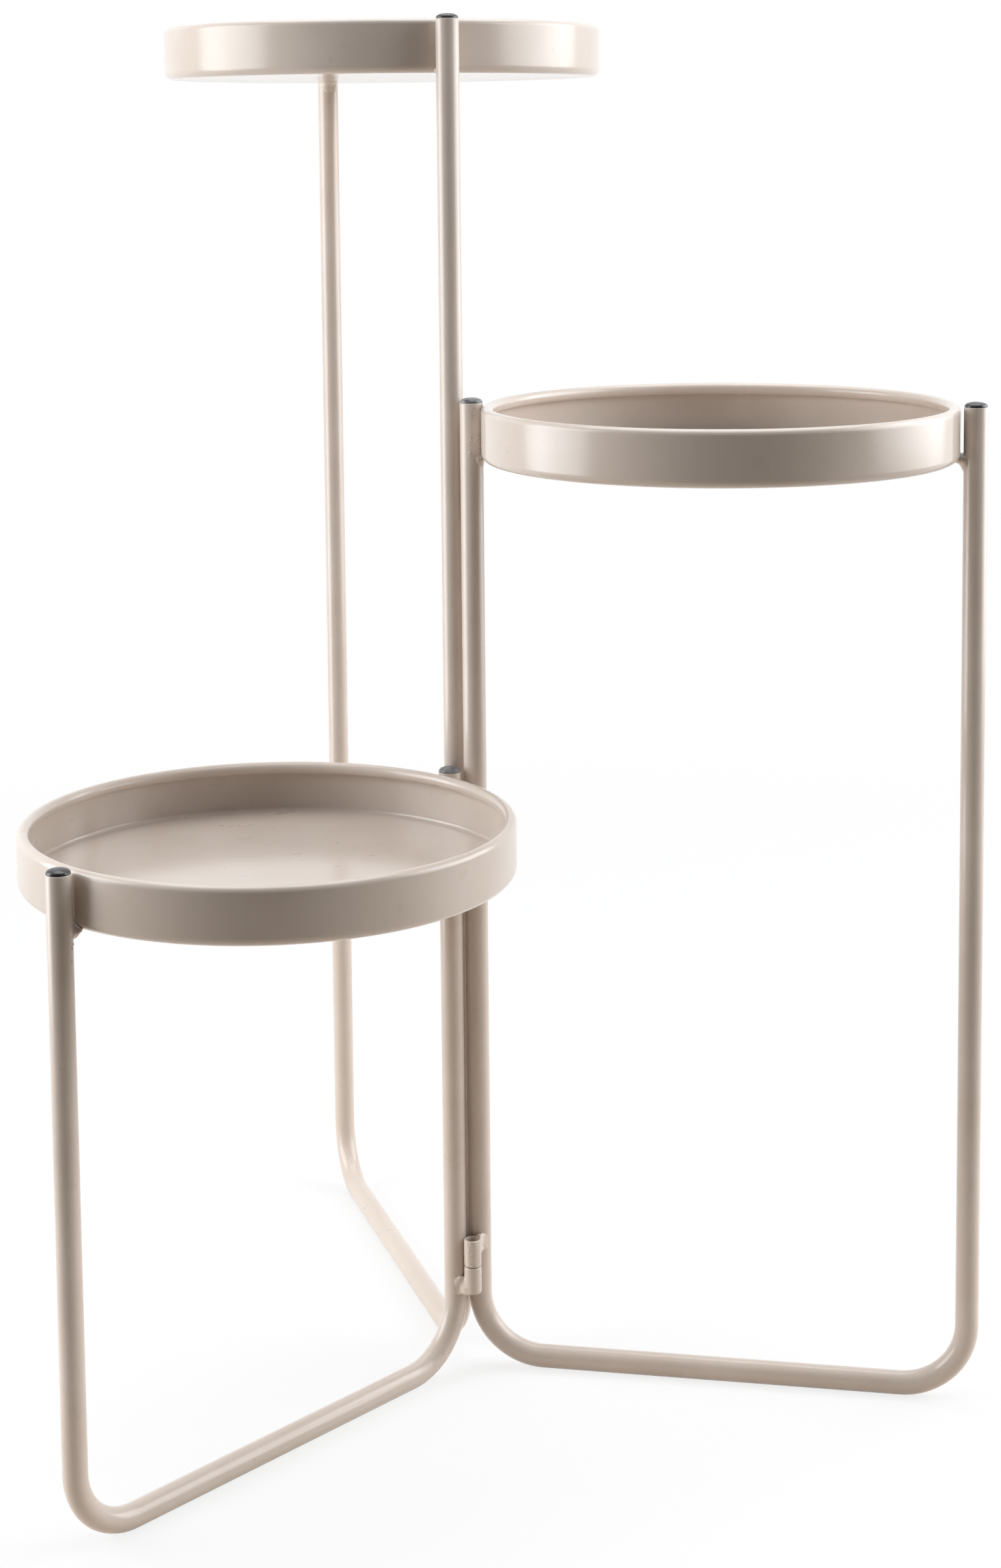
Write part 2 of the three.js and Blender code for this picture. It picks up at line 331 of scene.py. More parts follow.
satin_coat = coat_material("satin_coat", 0.035 * MM, 0.27, 0.35)
rough_coat = coat_material("rough_coat", 0.08 * MM, 0.22, 0.32, pit_share=0.10)
worn_coat = coat_material("worn_coat", 0.08 * MM, 0.22, 0.30, pit_share=0.04, worn=True)
print("made", satin_coat.name, rough_coat.name, "and", worn_coat.name)

# %% [markdown]
# ## The caps' plastic and the pins' steel
# The caps are glossy dark grey mouldings. Their tops are a little rubbed, so their highlights
# look clouded. Two of them are rougher, and pale grey clouds in their colour are a painted sheen
# for the cloudy reflections on them. The pins are drawn bar: fine lines run along them, made by
# noise that is stretched along the pin.

# %% Cap plastic
PLASTIC_PEEL = {"Ripple Scale": 1100.0, "Swell Scale": 330.0, "Swell Share": 1.5}


def cap_material(name, dark, pale, smoothest, roughest):
    material, tree, skin = new_material(name)
    cloud = group_value(tree, clouds, {"Scale": 420.0, "Low": 0.0, "High": 1.0})
    colour = mix_colour(tree, cloud, dark, pale)
    roughness = group_value(tree, clouds, {"Scale": 500.0, "Low": smoothest, "High": roughest})
    height = group_value(tree, orange_peel, PLASTIC_PEEL)
    dress(tree, skin, colour, roughness, height, 0.02 * MM)
    return material


moulded_plastic = cap_material(
    "moulded_plastic", (0.022, 0.022, 0.025, 1), (0.050, 0.050, 0.056, 1), 0.14, 0.38
)
# Rougher plastic. Its pale grey clouds are a painted sheen, standing in for cloudy reflections.
rougher_sheen_painted_plastic = cap_material(
    "rougher_sheen_painted_plastic", (0.05, 0.05, 0.055, 1), (0.30, 0.30, 0.31, 1), 0.22, 0.50
)
print("made", moulded_plastic.name, "and", rougher_sheen_painted_plastic.name)

# %% Pin steel
LINE_DARK = (0.30, 0.29, 0.28, 1)
LINE_PALE = (0.55, 0.54, 0.52, 1)
LINE_STRETCH = (4000, 4000, 60)


def pin_material():
    material, tree, skin = new_material("drawn_steel")
    place = add(tree, "ShaderNodeTexCoord").outputs["Object"]
    drawn = add(tree, "ShaderNodeMapping", {"Vector": place, "Scale": LINE_STRETCH})
    lines = noise(tree, drawn.outputs[0], 1.0, detail=3.0)
    colour = mix_colour(tree, lines, LINE_DARK, LINE_PALE)
    roughness = group_value(tree, clouds, {"Scale": 500.0, "Low": 0.28, "High": 0.45})
    dress(tree, skin, colour, roughness, lines, 0.01 * MM)
    skin.inputs["Metallic"].default_value = 1.0
    return material


drawn_steel = pin_material()
print("made", drawn_steel.name)

# %% [markdown]
# ## From a tree to a finished piece
# A geometry tree runs as a modifier. To hand the stand on as plain meshes, the tree is run once,
# its result is kept as a mesh, and the modifier goes away with the object it was on. The finished
# piece then takes the place of an imported piece, which is hidden, moves with that piece's body
# and has its finish.


def new_object(name, data):
    made = bpy.data.objects.new(name, data)
    bpy.context.scene.collection.objects.link(made)
    return made


def grow(name, tree, values):
    """Runs a geometry tree and returns a plain object with its result."""
    start = new_object(name + "_start", bpy.data.meshes.new(name + "_start"))
    rule = start.modifiers.new("Rule", "NODES")
    rule.node_group = tree
    for item in tree.interface.items_tree:
        if item.in_out == "INPUT" and item.name in values:
            rule[item.identifier] = values[item.name]
    ready = start.evaluated_get(bpy.context.evaluated_depsgraph_get())
    mesh = bpy.data.meshes.new_from_object(ready)
    bpy.data.objects.remove(start)
    mesh.name = name
    return new_object(name, mesh)


def hand_over(tree, geometry, coat, result):
    """The end of every geometry tree: smooth shading, plain faces and a material."""
    smooth = add(tree, "GeometryNodeSetShadeSmooth", {"Geometry": geometry})
    real = add(tree, "GeometryNodeRealizeInstances", {"Geometry": smooth.outputs[0]})
    inputs = {"Geometry": real.outputs[0], "Material": coat}
    coated = add(tree, "GeometryNodeSetMaterial", inputs)
    tree.links.new(coated.outputs[0], result["Geometry"])


def seat(piece, node, material):
    """Puts a finished piece in the place of a packed one."""
    if not piece.data.materials:
        piece.data.materials.append(material)
    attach(piece, body_of_node[node])
    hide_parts(node)
    return piece


# %% [markdown]
# ## The frame tubes
# Each frame is one length of tube, bent twice in a press. A tube follows a path, so Geometry Nodes
# suit it: four corner points make a line, Fillet Curve rounds the two lower corners to the bend
# radius, and Curve to Mesh sweeps a circle along it. A Solidify modifier then gives the tube its
# wall, and a Bevel breaks the cut edge that shows as a light ring under each cap.

# %% Bent tube tree
BEND_STEPS = 22
TUBE_SIDES = 56


def bent_tube_tree():
    """The corners are numbered 0 to 3 from the inner leg's top to the outer leg's top."""
    tree, given, result = new_tree(
        "bent_tube",
        "GeometryNodeTree",
        {
            "Inner Foot": VECTOR,
            "Turn": FLOAT,
            "Height": FLOAT,
            "Leg Spacing": FLOAT,
            "Bend Radius": FLOAT,
            "Tube Radius": FLOAT,
            "Coat": MATERIAL,
        },
        {"Geometry": GEOMETRY},
    )
    line = add(tree, "GeometryNodeMeshLine", {"Count": 4}).outputs[0]
    number = add(tree, "GeometryNodeInputIndex").outputs[0]
    on_outer_leg = calc(tree, "GREATER_THAN", number, 1.5)
    from_middle = calc(tree, "ABSOLUTE", calc(tree, "SUBTRACT", number, 1.5))
    is_end = calc(tree, "GREATER_THAN", from_middle, 1.0)
    across = calc(tree, "MULTIPLY", on_outer_leg, given["Leg Spacing"])
    straight = calc(tree, "SUBTRACT", given["Height"], given["Tube Radius"])
    rise = calc(tree, "MULTIPLY", is_end, straight)
    level = calc(tree, "ADD", rise, given["Tube Radius"])
    corner = add(tree, "ShaderNodeCombineXYZ", {"X": across, "Z": level}).outputs[0]
    corners = add(tree, "GeometryNodeSetPosition", {"Geometry": line, "Position": corner})
    path = add(tree, "GeometryNodeMeshToCurve", {"Mesh": corners.outputs[0]}).outputs[0]
    rounding = {"Curve": path, "Count": BEND_STEPS, "Radius": given["Bend Radius"]}
    bent = add(tree, "GeometryNodeFilletCurve", rounding, mode="POLY").outputs[0]
    circle = {"Resolution": TUBE_SIDES, "Radius": given["Tube Radius"]}
    section = add(tree, "GeometryNodeCurvePrimitiveCircle", circle).outputs[0]
    skin = add(tree, "GeometryNodeCurveToMesh", {"Curve": bent, "Profile Curve": section})
    turn = add(tree, "ShaderNodeCombineXYZ", {"Z": given["Turn"]}).outputs[0]
    spot = {"Geometry": skin.outputs[0], "Translation": given["Inner Foot"], "Rotation": turn}
    placed = add(tree, "GeometryNodeTransform", spot).outputs[0]
    hand_over(tree, placed, given["Coat"], result)
    return tree


bent_tube = bent_tube_tree()
print("geometry tree", bent_tube.name)

# %% Make the tubes
SAME_POINT = 0.0005 * MM
CUT_EDGE = 0.5 * MM


def face_outwards(mesh):
    """Joins the points of a closed mesh that coincide, and makes its faces point out."""
    work = bmesh.new()
    work.from_mesh(mesh)
    bmesh.ops.remove_doubles(work, verts=work.verts, dist=SAME_POINT)
    bmesh.ops.recalc_face_normals(work, faces=work.faces)
    work.to_mesh(mesh)
    work.free()


def frame_tube(name):
    inner, outer = (leg_axis(name, side) for side in SIDES)
    along = outer - inner
    sizes = {
        "Inner Foot": inner,
        "Turn": math.atan2(along.y, along.x),
        "Height": leg_height[name],
        "Leg Spacing": along.length,
        "Bend Radius": BEND_RADIUS,
        "Tube Radius": TUBE_RADIUS,
        "Coat": satin_coat,
    }
    tube = grow(f"{name}_tube_coated", bent_tube, sizes)
    face_outwards(tube.data)
    wall = tube.modifiers.new("Wall", "SOLIDIFY")
    wall.thickness = TUBE_WALL
    wall.offset = -1
    edge = tube.modifiers.new("Cut edge", "BEVEL")
    edge.width = CUT_EDGE
    edge.segments = 3
    edge.limit_method = "ANGLE"
    edge.angle_limit = math.radians(60)
    return seat(tube, f"{name}_frame_tube", satin_coat)


tubes = [frame_tube(name) for name in FRAMES]
print("tubes", [len(tube.data.polygons) for tube in tubes])

# %% [markdown]
# ## Turned shapes
# Trays, caps, hinge barrels and pins are all round about an upright axis. One function turns a
# profile of (radius, height) points about that axis. The profile goes once round the material, so
# the shape is closed, and a point on the axis becomes a single vertex.

# %% Turn a profile
ON_AXIS = 1e-7
SHARP_ANGLE = math.radians(50)


def arc(centre, radius, first, last, steps):
    """Points on an arc, angles in degrees from the outward direction."""
    turns = [math.radians(first + (last - first) * i / steps) for i in range(steps + 1)]
    return [(centre[0] + radius * math.cos(t), centre[1] + radius * math.sin(t)) for t in turns]


def turned(name, profile, axis, foot, sides):
    """Turns a closed profile, or one that starts and ends on the axis."""
    work = bmesh.new()
    turns = [2 * math.pi * i / sides for i in range(sides)]
    rings = []
    for radius, height in profile:
        level = foot + height
        if radius < ON_AXIS:
            rings.append([work.verts.new((axis.x, axis.y, level))] * sides)
            continue
        spokes = [Vector((radius * math.cos(t), radius * math.sin(t), level)) for t in turns]
        rings.append([work.verts.new(axis + spoke) for spoke in spokes])
    closed = profile[0][0] >= ON_AXIS
    pairs = list(zip(rings, rings[1:])) + ([(rings[-1], rings[0])] if closed else [])
    for lower, upper in pairs:
        for i in range(sides):
            j = (i + 1) % sides
            corners = list(dict.fromkeys((lower[i], lower[j], upper[j], upper[i])))
            if len(corners) > 2:
                work.faces.new(corners)
    bmesh.ops.recalc_face_normals(work, faces=work.faces)
    mesh = bpy.data.meshes.new(name)
    work.to_mesh(mesh)
    work.free()
    mesh.polygons.foreach_set("use_smooth", [True] * len(mesh.polygons))
    mesh.set_sharp_from_angle(angle=SHARP_ANGLE)
    return new_object(name, mesh)


print("a quarter arc", [(round(x, 2), round(y, 2)) for x, y in arc((0, 0), 1, 0, 90, 3)])

# %% [markdown]
# ## The trays
# A tray is one disc of sheet steel, pressed to a shallow dish. Its edge is then rolled inwards to
# a hollow bead, which stiffens it and hides the cut edge. The profile follows the sheet: out along
# the underside, round the lower corner, up the wall, over and round the roll, and back along the
# inside.

# %% Make the trays
TRAY_SIDES = 224


def tray_profile():
    roll = (TRAY_RADIUS - ROLL_RADIUS, TRAY_HEIGHT - ROLL_RADIUS)
    corner = (TRAY_RADIUS - TRAY_CORNER, TRAY_CORNER)
    halfway = TRAY_RADIUS / 2
    outside = [(0, 0), (halfway, 0), *arc(corner, TRAY_CORNER, -90, 0, 12)]
    edge = arc(roll, ROLL_RADIUS, 0, ROLL_SWEEP, 40)
    tip = math.radians(ROLL_SWEEP)
    tip_middle = ROLL_RADIUS - SHEET / 2
    cut = (roll[0] + tip_middle * math.cos(tip), roll[1] + tip_middle * math.sin(tip))
    cut_edge = arc(cut, SHEET / 2, ROLL_SWEEP, ROLL_SWEEP + 180, 6)[1:-1]
    back = arc(roll, ROLL_RADIUS - SHEET, ROLL_SWEEP, 0, 36)
    inner_corner = (TRAY_RADIUS - SHEET - INNER_CORNER, SHEET + INNER_CORNER)
    inside = arc(inner_corner, INNER_CORNER, 0, -90, 12)
    return [*outside, *edge, *cut_edge, *back, *inside, (halfway, SHEET), (0, SHEET)]


def tray(name):
    place = tray_axis[name], tray_foot[name]
    piece = turned(f"{name}_tray_coated", tray_profile(), *place, TRAY_SIDES)
    return seat(piece, f"{name}_tray", satin_coat)


trays = [tray(name) for name in FRAMES]
print("trays", [len(piece.data.polygons) for piece in trays])

# %% [markdown]
# ## The tube caps
# A cap is a moulded plug with a low, flat dome on top. Two ribs round the plug grip the tube. The
# dome is rounder at its edge than an ellipse would be, so its outline is a superellipse. The low
# and the medium inner cap have the rougher plastic with a painted sheen: pale grey in its colour.

# %% Make the caps
CAP_SIDES = 64
CAP_DOME = 2.6 * MM
CAP_SEAT = 0.2 * MM
CAP_RIM = TUBE_RADIUS - 0.3 * MM
CAP_PLUG = 9 * MM
PLUG_RADIUS = TUBE_RADIUS - TUBE_WALL - 0.3 * MM
PLUG_CHAMFER = 0.5 * MM
RIB = 0.2 * MM
RIB_HEIGHTS = (-7 * MM, -4 * MM)
DOME_STEPS = 16
DOME_POWER = 2 / 2.35


def dome_profile():
    turns = [math.pi / 2 * i / DOME_STEPS for i in range(DOME_STEPS)]
    outline = [
        (CAP_RIM * math.cos(t) ** DOME_POWER, CAP_SEAT + CAP_DOME * math.sin(t) ** DOME_POWER)
        for t in turns
    ]
    return [*outline, (0, CAP_SEAT + CAP_DOME)]


def cap_profile():
    tip = [(0, -CAP_PLUG), (PLUG_RADIUS - PLUG_CHAMFER, -CAP_PLUG)]
    ribs = [(PLUG_RADIUS, -CAP_PLUG + PLUG_CHAMFER)]
    for height in RIB_HEIGHTS:
        ribs += [(PLUG_RADIUS, height - RIB), (PLUG_RADIUS + RIB, height)]
        ribs += [(PLUG_RADIUS, height + RIB)]
    return [*tip, *ribs, (PLUG_RADIUS, CAP_SEAT), *dome_profile()]


def cap(name, side):
    place = leg_axis(name, side), leg_height[name]
    piece = turned(f"{name}_{side}_cap_moulded", cap_profile(), *place, CAP_SIDES)
    # The low and the medium inner cap get the rougher plastic with the painted sheen.
    has_painted_sheen = side == "inner" and name != "tall"
    return seat(piece, f"{name}_{side}_cap", rougher_sheen_painted_plastic if has_painted_sheen else moulded_plastic)


caps = [cap(name, side) for name in FRAMES for side in SIDES]
print("caps", len(caps))

# %% [markdown]
# ## The hinge barrels and pins
# Each hinge is a bought part for welding: two short lengths of thick-walled barrel and a pin that
# is fixed in the lower one. Their corners are rounded by the coat. The upper barrels are worn on
# one side. Where each one stands is read from its packed box.

# %% Make the barrels
HINGES = [(name, place) for name in ("low", "tall") for place in ("bottom", "top")]
BARREL_SIDES = 64
BARREL_EDGE = 0.8 * MM
BORE_EDGE = 0.35 * MM
WEAR_BEARING = {"low": math.radians(-85), "tall": math.radians(85)}
WEAR_REACH = math.radians(40)
WEAR_FADE = math.radians(12)


def knuckle_profile():
    outer = BARREL_RADIUS - BARREL_EDGE
    inner = BARREL_BORE + BORE_EDGE
    return [
        *arc((outer, BARREL_EDGE), BARREL_EDGE, -90, 0, 6),
        *arc((outer, KNUCKLE_LENGTH - BARREL_EDGE), BARREL_EDGE, 0, 90, 6),
        *arc((inner, KNUCKLE_LENGTH - BORE_EDGE), BORE_EDGE, 90, 180, 5),
        *arc((inner, BORE_EDGE), BORE_EDGE, 180, 270, 5),
    ]


def mark_wear(mesh, axis, bearing):
    """Gives each point a wear value: 1 on the side at the bearing, falling to 0 at the reach."""
    wear = mesh.attributes.new("wear", "FLOAT", "POINT")
    for vertex, value in zip(mesh.vertices, wear.data):
        spoke = vertex.co - axis
        away = abs(math.remainder(math.atan2(spoke.y, spoke.x) - bearing, 2 * math.pi))
        value.value = max(0.0, min(1.0, (WEAR_REACH - away) / WEAR_FADE))


def knuckle(hinge, half):
    name, place = hinge
    node = f"{name}_{place}_hinge_{half}_knuckle"
    spot = hinge_axis[name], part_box(node)[0].z
    piece = turned(node + "_coated", knuckle_profile(), *spot, BARREL_SIDES)
    if half == "lower":
        return seat(piece, node, rough_coat)
    mark_wear(piece.data, hinge_axis[name], WEAR_BEARING[name])
    return seat(piece, node, worn_coat)


knuckles = [knuckle(hinge, half) for hinge in HINGES for half in ("upper", "lower")]
print("knuckles", len(knuckles))

# %% Make the pins
PIN_SIDES = 40
PIN_SHAFT = BARREL_BORE - 0.3 * MM
PIN_GRIP = BARREL_BORE - 0.1 * MM
PIN_CHAMFER = 0.6 * MM
GRIP_SHARE = 0.6


def pin(hinge):
    name, place = hinge
    node = f"{name}_{place}_hinge_pin"
    low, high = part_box(node)
    length = high.z - low.z
    shoulder = length - PIN_CHAMFER
    profile = [
        (0, 0),
        (PIN_GRIP - PIN_CHAMFER, 0),
        (PIN_GRIP, PIN_CHAMFER),
        (PIN_GRIP, GRIP_SHARE * length),
        (PIN_SHAFT, GRIP_SHARE * length),
        (PIN_SHAFT, shoulder),
        *arc((PIN_SHAFT - PIN_CHAMFER, shoulder), PIN_CHAMFER, 20, 90, 4),
        (0, length),
    ]
    piece = turned(node + "_drawn", profile, hinge_axis[name], low.z, PIN_SIDES)
    return seat(piece, node, drawn_steel)


pins = [pin(hinge) for hinge in HINGES]
print("pins", len(pins))

# %% [markdown]
# ## Weld beads
# A weld is metal that has run into the valley between two parts, so its skin curves smoothly from
# one to the other. That is hard to model by hand, but easy to say as a distance: at each point,
# take the distance to the leg and to the other part, and blend the two with a smooth minimum.
# Where the blend is below zero there is metal. A Volume Cube node asks this question on a fine
# grid, and Volume to Mesh draws the skin. An egg-shaped limit ends the bead, and noise makes it
# uneven.

# %% Distance to round things


def upright_distance(tree, place, axis, radius):
    """Distance from an upright cylinder about the axis."""
    level = vector_calc(tree, "MULTIPLY", vector_calc(tree, "SUBTRACT", place, axis), (1, 1, 0))
    return calc(tree, "SUBTRACT", vector_calc(tree, "LENGTH", level), radius)


def tray_distance(tree, place, axis, foot):
    """Distance from the outside of a tray near its rounded lower corner."""
    past_wall = calc(tree, "ADD", upright_distance(tree, place, axis, TRAY_RADIUS), TRAY_CORNER)
    height = add(tree, "ShaderNodeSeparateXYZ", {0: place}).outputs["Z"]
    below = calc(tree, "ADD", calc(tree, "SUBTRACT", foot, height), TRAY_CORNER)
    outside = add(
        tree,
        "ShaderNodeCombineXYZ",
        {"X": calc(tree, "MAXIMUM", past_wall, 0.0), "Y": calc(tree, "MAXIMUM", below, 0.0)},
    )
    inside = calc(tree, "MINIMUM", calc(tree, "MAXIMUM", past_wall, below), 0.0)
    reach = calc(tree, "ADD", vector_calc(tree, "LENGTH", outside.outputs[0]), inside)
    return calc(tree, "SUBTRACT", reach, TRAY_CORNER)


def barrel_surface(tree, place, given):
    return upright_distance(tree, place, given["Other Axis"], BARREL_RADIUS)


def tray_surface(tree, place, given):
    return tray_distance(tree, place, given["Other Axis"], given["Other Foot"])


print("a bead lies between a leg and", barrel_surface.__name__, "or", tray_surface.__name__)

# %% Bead trees
BEAD_VOXELS = 64
BEAD_MARGIN = 1.2 * MM
BEAD_EDGE = 3.5 * MM
LIMIT_DEPTH = 4.4 * MM
SINK = 0.7 * MM
LUMP_SCALE = 230.0
DENSITY_FALL = 4 * MM  # the density goes from 1 to 0 over this distance


def bead_body(tree, place, first, second, given):
    """The skin of the metal between two surfaces, as a mesh."""
    centre, half_size = given["Centre"], given["Half Size"]
    moved = vector_calc(tree, "ADD", place, given["Seed"])
    lumps = calc(tree, "SUBTRACT", noise(tree, moved, LUMP_SCALE, detail=0.4), 0.5)
    uneven = calc(tree, "MULTIPLY", lumps, given["Roughness"])
    valley = calc(tree, "SMOOTH_MIN", first, second, given["Fillet"])
    from_centre = vector_calc(tree, "SUBTRACT", place, centre)
    radii_away = vector_calc(tree, "LENGTH", vector_calc(tree, "DIVIDE", from_centre, half_size))
    limit = calc(tree, "MULTIPLY", calc(tree, "SUBTRACT", radii_away, 1.0), LIMIT_DEPTH)
    wavy_limit = calc(tree, "ADD", limit, uneven)
    bead = calc(tree, "SMOOTH_MAX", calc(tree, "ADD", valley, uneven), wavy_limit, BEAD_EDGE)
    sunk = [calc(tree, "SUBTRACT", -SINK, surface) for surface in (first, second)]
    hollowed = calc(tree, "MAXIMUM", bead, calc(tree, "MAXIMUM", *sunk))
    metal = calc(tree, "SUBTRACT", 0.5, calc(tree, "MULTIPLY", hollowed, 1 / DENSITY_FALL))
    room = vector_calc(tree, "ADD", half_size, (BEAD_MARGIN,) * 3)
    cube = {
        "Density": metal,
        "Background": 0.0,
        "Min": vector_calc(tree, "SUBTRACT", centre, room),
        "Max": vector_calc(tree, "ADD", centre, room),
        **{f"Resolution {axis}": BEAD_VOXELS for axis in "XYZ"},
    }
    grid = add(tree, "GeometryNodeVolumeCube", cube).outputs[0]
    return add(tree, "GeometryNodeVolumeToMesh", {"Volume": grid, "Threshold": 0.5}).outputs[0]


def weld_tree(name, other_surface):
    tree, given, result = new_tree(
        name,
        "GeometryNodeTree",
        {
            "Leg": VECTOR,
            "Other Axis": VECTOR,
            "Other Foot": FLOAT,
            "Centre": VECTOR,
            "Half Size": VECTOR,
            "Fillet": FLOAT,
            "Roughness": FLOAT,
            "Seed": INTEGER,
            "Coat": MATERIAL,
        },
        {"Geometry": GEOMETRY},
    )
    place = add(tree, "GeometryNodeInputPosition").outputs[0]
    leg = upright_distance(tree, place, given["Leg"], TUBE_RADIUS)
    body = bead_body(tree, place, leg, other_surface(tree, place, given), given)
    hand_over(tree, body, given["Coat"], result)
    return tree


barrel_weld = weld_tree("barrel_weld", barrel_surface)
tray_weld = weld_tree("tray_weld", tray_surface)
print("geometry trees", barrel_weld.name, tray_weld.name)

# %% [markdown]
# ## Lay the beads
# Each bead runs its tree once with its own place, size, roughness and seed. Noise can cut a crumb
# off a bead, so only the largest connected body is kept.

# %% Weld the trays
TRAY_BEAD = Vector((6.8, 6.8, 6.0)) * MM
TRAY_BEAD_OUT = TUBE_RADIUS + 0.65 * MM
TRAY_BEAD_DROP = 1.2 * MM
TRAY_FILLET = 15 * MM
TRAY_SEED = 3
# The medium frame's outer bead is smooth, and those nearest the front are the worst.
BEAD_ROUGHNESS = {
    ("low", "inner"): 1.2 * MM,
    ("low", "outer"): 2.2 * MM,
    ("medium", "inner"): 2.0 * MM,
    ("medium", "outer"): 0.4 * MM,
    ("tall", "inner"): 1.4 * MM,
    ("tall", "outer"): 1.0 * MM,
}


def keep_main_body(mesh):
    work = bmesh.new()
    work.from_mesh(mesh)
    left = set(work.verts)
    found = []
    while left:
        body, edge_of_body = set(), [left.pop()]
        while edge_of_body:
            vertex = edge_of_body.pop()
            body.add(vertex)
            near = {edge.other_vert(vertex) for edge in vertex.link_edges} & left
            left -= near
            edge_of_body += near
        found.append(body)
    main = max(found, key=len)
    crumbs = [vertex for vertex in work.verts if vertex not in main]
    bmesh.ops.delete(work, geom=crumbs, context="VERTS")
    work.to_mesh(mesh)
    work.free()


def lay_bead(node, tree, values):
    bead = grow(node + "_metal", tree, {**values, "Coat": rough_coat})
    keep_main_body(bead.data)
    return seat(bead, node, rough_coat)


def make_tray_weld(name, side, seed):
    leg = leg_axis(name, side)
    centre = leg + (tray_axis[name] - leg).normalized() * TRAY_BEAD_OUT
    centre.z = tray_foot[name] - TRAY_BEAD_DROP
    values = {
        "Leg": leg,
        "Other Axis": tray_axis[name],
        "Other Foot": tray_foot[name],
        "Centre": centre,
        "Half Size": TRAY_BEAD,
        "Fillet": TRAY_FILLET,
        "Roughness": BEAD_ROUGHNESS[name, side],
        "Seed": seed,
    }
    return lay_bead(f"{name}_{side}_tray_weld", tray_weld, values)


tray_beads = [make_tray_weld(*leg, TRAY_SEED + i) for i, leg in enumerate(BEAD_ROUGHNESS)]
print("tray welds", [len(bead.data.polygons) for bead in tray_beads])

# %% Weld the hinges
BARREL_BEAD = Vector((8.0, 8.0, 6.4)) * MM
BARREL_FILLET = 11 * MM
BARREL_ROUGHNESS = 1.3 * MM
BARREL_SEED = 31


def make_hinge_weld(hinge, half, seed):
    name, place = hinge
    node = f"{name}_{place}_hinge_{half}_weld"
    values = {
        "Leg": leg_axis("medium" if half == "upper" else name, "inner"),
        "Other Axis": hinge_axis[name],
        "Centre": middle(node),
        "Half Size": BARREL_BEAD,
        "Fillet": BARREL_FILLET,
        "Roughness": BARREL_ROUGHNESS,
        "Seed": seed,
    }
    return lay_bead(node, barrel_weld, values)


hinge_beads = [
    make_hinge_weld(hinge, half, BARREL_SEED + 2 * i + j)
    for i, hinge in enumerate(HINGES)
    for j, half in enumerate(("upper", "lower"))
]
print("hinge welds", [len(bead.data.polygons) for bead in hinge_beads])

# %% [markdown]
# ## Spatter and pores
# Welding throws small drops on the tube beside the bead, and gas leaves open pores in them. The
# coat covers both, so they show as little bumps and rings. A tree scatters points over a patch of
# the leg, given by two bearings and two heights, and puts a drop or a ring on each one. The seed
# is fixed, so the patch is the same on every run.

# %% Spatter tree
DROP_SHARE = 0.55
DROP_FLATNESS = 0.55
RING_THICKNESS = 0.42


def random_value(tree, low, high, seed, which):
    """A random number for each point. Which is its row, so that no two rows are alike."""
    number = add(tree, "GeometryNodeInputIndex").outputs[0]
    made = add(tree, "FunctionNodeRandomValue", data_type="FLOAT")
    row = calc(tree, "ADD", number, 100 * which)
    numbered = {"Min": low, "Max": high, "Seed": seed, "ID": row}
    for socket in made.inputs:
        if socket.enabled and socket.name in numbered:
            fill(tree, socket, numbered[socket.name])
    return next(socket for socket in made.outputs if socket.enabled)


def drop_and_ring(tree):
    """A flattened drop and a ring, both one unit in radius."""
    ball = add(tree, "GeometryNodeMeshIcoSphere", {"Radius": 1.0, "Subdivisions": 3}).outputs[0]
    flat = {"Geometry": ball, "Scale": (1.0, 1.0, DROP_FLATNESS)}
    drop = add(tree, "GeometryNodeTransform", flat).outputs[0]
    circle = "GeometryNodeCurvePrimitiveCircle"
    path = add(tree, circle, {"Resolution": 20, "Radius": 1.0}).outputs[0]
    section = add(tree, circle, {"Resolution": 10, "Radius": RING_THICKNESS}).outputs[0]
    ring = add(tree, "GeometryNodeCurveToMesh", {"Curve": path, "Profile Curve": section})
    return drop, ring.outputs[0]


